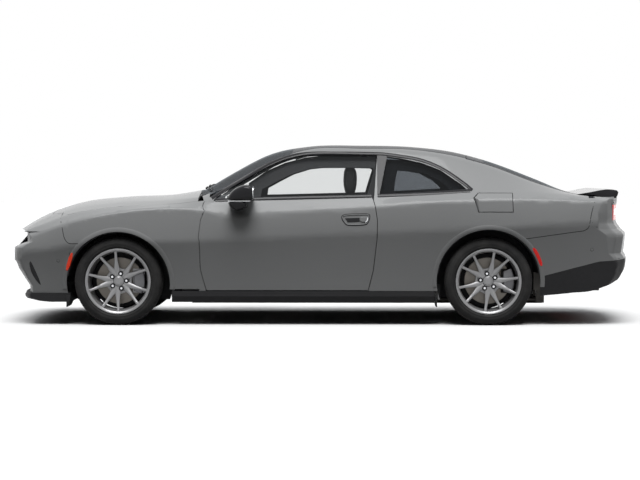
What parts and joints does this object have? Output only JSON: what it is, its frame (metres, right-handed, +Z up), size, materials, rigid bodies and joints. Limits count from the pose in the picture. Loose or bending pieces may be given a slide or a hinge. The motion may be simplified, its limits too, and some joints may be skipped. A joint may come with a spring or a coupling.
{
  "type": "two-door fastback coupe car",
  "caption": "Full-size two-door fastback coupe with opening doors, hood, rear hatch and fuel flap, steered front wheels and freely turning road wheels.",
  "frame": {"origin": "on the ground, under the middle of the car", "axes": "+X to the tail, +Y to the right-hand side, +Z up"},
  "size_m": [5.248, 2.256, 1.4998],
  "materials": {
    "paint": "grey metallic clearcoat",
    "roof_black": "gloss black paint",
    "gloss_black": "gloss black plastic",
    "black_trim": "grained black plastic",
    "window_glass": "lightly tinted glass",
    "screen_glass": "tinted laminated glass",
    "lamp_lens": "smoked clear lens",
    "red_lens": "red lens",
    "seat_leather": "black leather",
    "cabin_plastic": "soft-touch cabin plastic",
    "steering_leather": "black leather rim",
    "chassis_steel": "black coated steel",
    "engine_alloy": "cast aluminium",
    "exhaust_steel": "stainless steel",
    "knuckle_iron": "silver grey painted casting",
    "wheel_alloy": "silver painted alloy",
    "tyre_rubber": "black rubber"
  },
  "bodies": {
    "root": {"body_side_left": "paint", "body_side_right": "paint", "cowl_panel": "black_trim", "dashboard": "cabin_plastic", "engine": "engine_alloy", "exhaust": "exhaust_steel", "floor_pan": "chassis_steel", "front_fascia": "paint", "front_fender_left": "paint", "front_fender_right": "paint", "front_grille": "black_trim", "front_lamp": "lamp_lens", "front_splitter": "black_trim", "quarter_glass": "window_glass", "rear_diffuser": "black_trim", "rear_fascia": "paint", "roof_panel": "roof_black", "seats": "seat_leather", "side_markers": "red_lens", "side_sills": "black_trim", "subframes": "chassis_steel", "tail_lamp": "red_lens", "wheel_liners": "black_trim", "windshield": "screen_glass"},
    "knuckle_left": {"knuckle_left": "knuckle_iron"},
    "knuckle_right": {"knuckle_right": "knuckle_iron"},
    "door_left": {"door_left": "paint", "door_glass_left": "window_glass", "mirror_left": "gloss_black"},
    "door_right": {"door_right": "paint", "door_glass_right": "window_glass", "mirror_right": "gloss_black"},
    "hood": {"hood": "paint"},
    "hatch": {"hatch_frame": "roof_black", "hatch_glass": "screen_glass", "spoiler": "gloss_black"},
    "fuel_flap": {"fuel_flap": "paint"},
    "steering_wheel": {"steering_wheel": "steering_leather"},
    "wheel_front_left": {"wheel_front_left": "wheel_alloy", "tyre_front_left": "tyre_rubber"},
    "wheel_front_right": {"wheel_front_right": "wheel_alloy", "tyre_front_right": "tyre_rubber"},
    "wheel_rear_left": {"wheel_rear_left": "wheel_alloy", "tyre_rear_left": "tyre_rubber"},
    "wheel_rear_right": {"wheel_rear_right": "wheel_alloy", "tyre_rear_right": "tyre_rubber"}
  },
  "joints": [
    {"name": "steer_left", "type": "hinge", "parent": "root", "child": "knuckle_left", "pos_m": [-1.679, -0.775, 0.364], "axis": [0, 0, 1], "range_deg": [-35, 35]},
    {"name": "steer_right", "type": "hinge", "parent": "root", "child": "knuckle_right", "pos_m": [-1.679, 0.775, 0.364], "axis": [0, 0, 1], "range_deg": [-35, 35]},
    {"name": "steering_wheel_turn", "type": "hinge", "parent": "root", "child": "steering_wheel", "pos_m": [-0.5011, -0.37, 0.9238], "axis": [0.9272, 0, 0.3746], "range_deg": [-420, 420]},
    {"name": "wheel_front_left_spin", "type": "hinge", "parent": "knuckle_left", "child": "wheel_front_left", "pos_m": [-1.679, -0.8325, 0.364], "axis": [0, 1, 0], "continuous": true},
    {"name": "wheel_front_right_spin", "type": "hinge", "parent": "knuckle_right", "child": "wheel_front_right", "pos_m": [-1.679, 0.8325, 0.364], "axis": [0, 1, 0], "continuous": true},
    {"name": "wheel_rear_left_spin", "type": "hinge", "parent": "root", "child": "wheel_rear_left", "pos_m": [1.395, -0.8325, 0.364], "axis": [0, 1, 0], "continuous": true},
    {"name": "wheel_rear_right_spin", "type": "hinge", "parent": "root", "child": "wheel_rear_right", "pos_m": [1.395, 0.8325, 0.364], "axis": [0, 1, 0], "continuous": true},
    {"name": "door_left_hinge", "type": "hinge", "parent": "root", "child": "door_left", "pos_m": [-0.925, -0.894, 0.6], "axis": [0, 0, -1], "range_deg": [0, 68]},
    {"name": "door_right_hinge", "type": "hinge", "parent": "root", "child": "door_right", "pos_m": [-0.925, 0.894, 0.6], "axis": [0, 0, 1], "range_deg": [0, 68]},
    {"name": "hood_hinge", "type": "hinge", "parent": "root", "child": "hood", "pos_m": [-1.08, 0, 1.01], "axis": [0, 1, 0], "range_deg": [0, 50]},
    {"name": "hatch_hinge", "type": "hinge", "parent": "root", "child": "hatch", "pos_m": [1.29, 0, 1.36], "axis": [0, -1, 0], "range_deg": [0, 60]},
    {"name": "fuel_flap_hinge", "type": "hinge", "parent": "root", "child": "fuel_flap", "pos_m": [1.324, -0.97989, 0.937], "axis": [0, -0.4718, -0.8817], "range_deg": [0, 80]}
  ],
  "couplings": [
    {"joint": "steer_right", "follows": "steer_left", "ratio": 1},
    {"joint": "steering_wheel_turn", "follows": "steer_left", "ratio": 12}
  ]
}
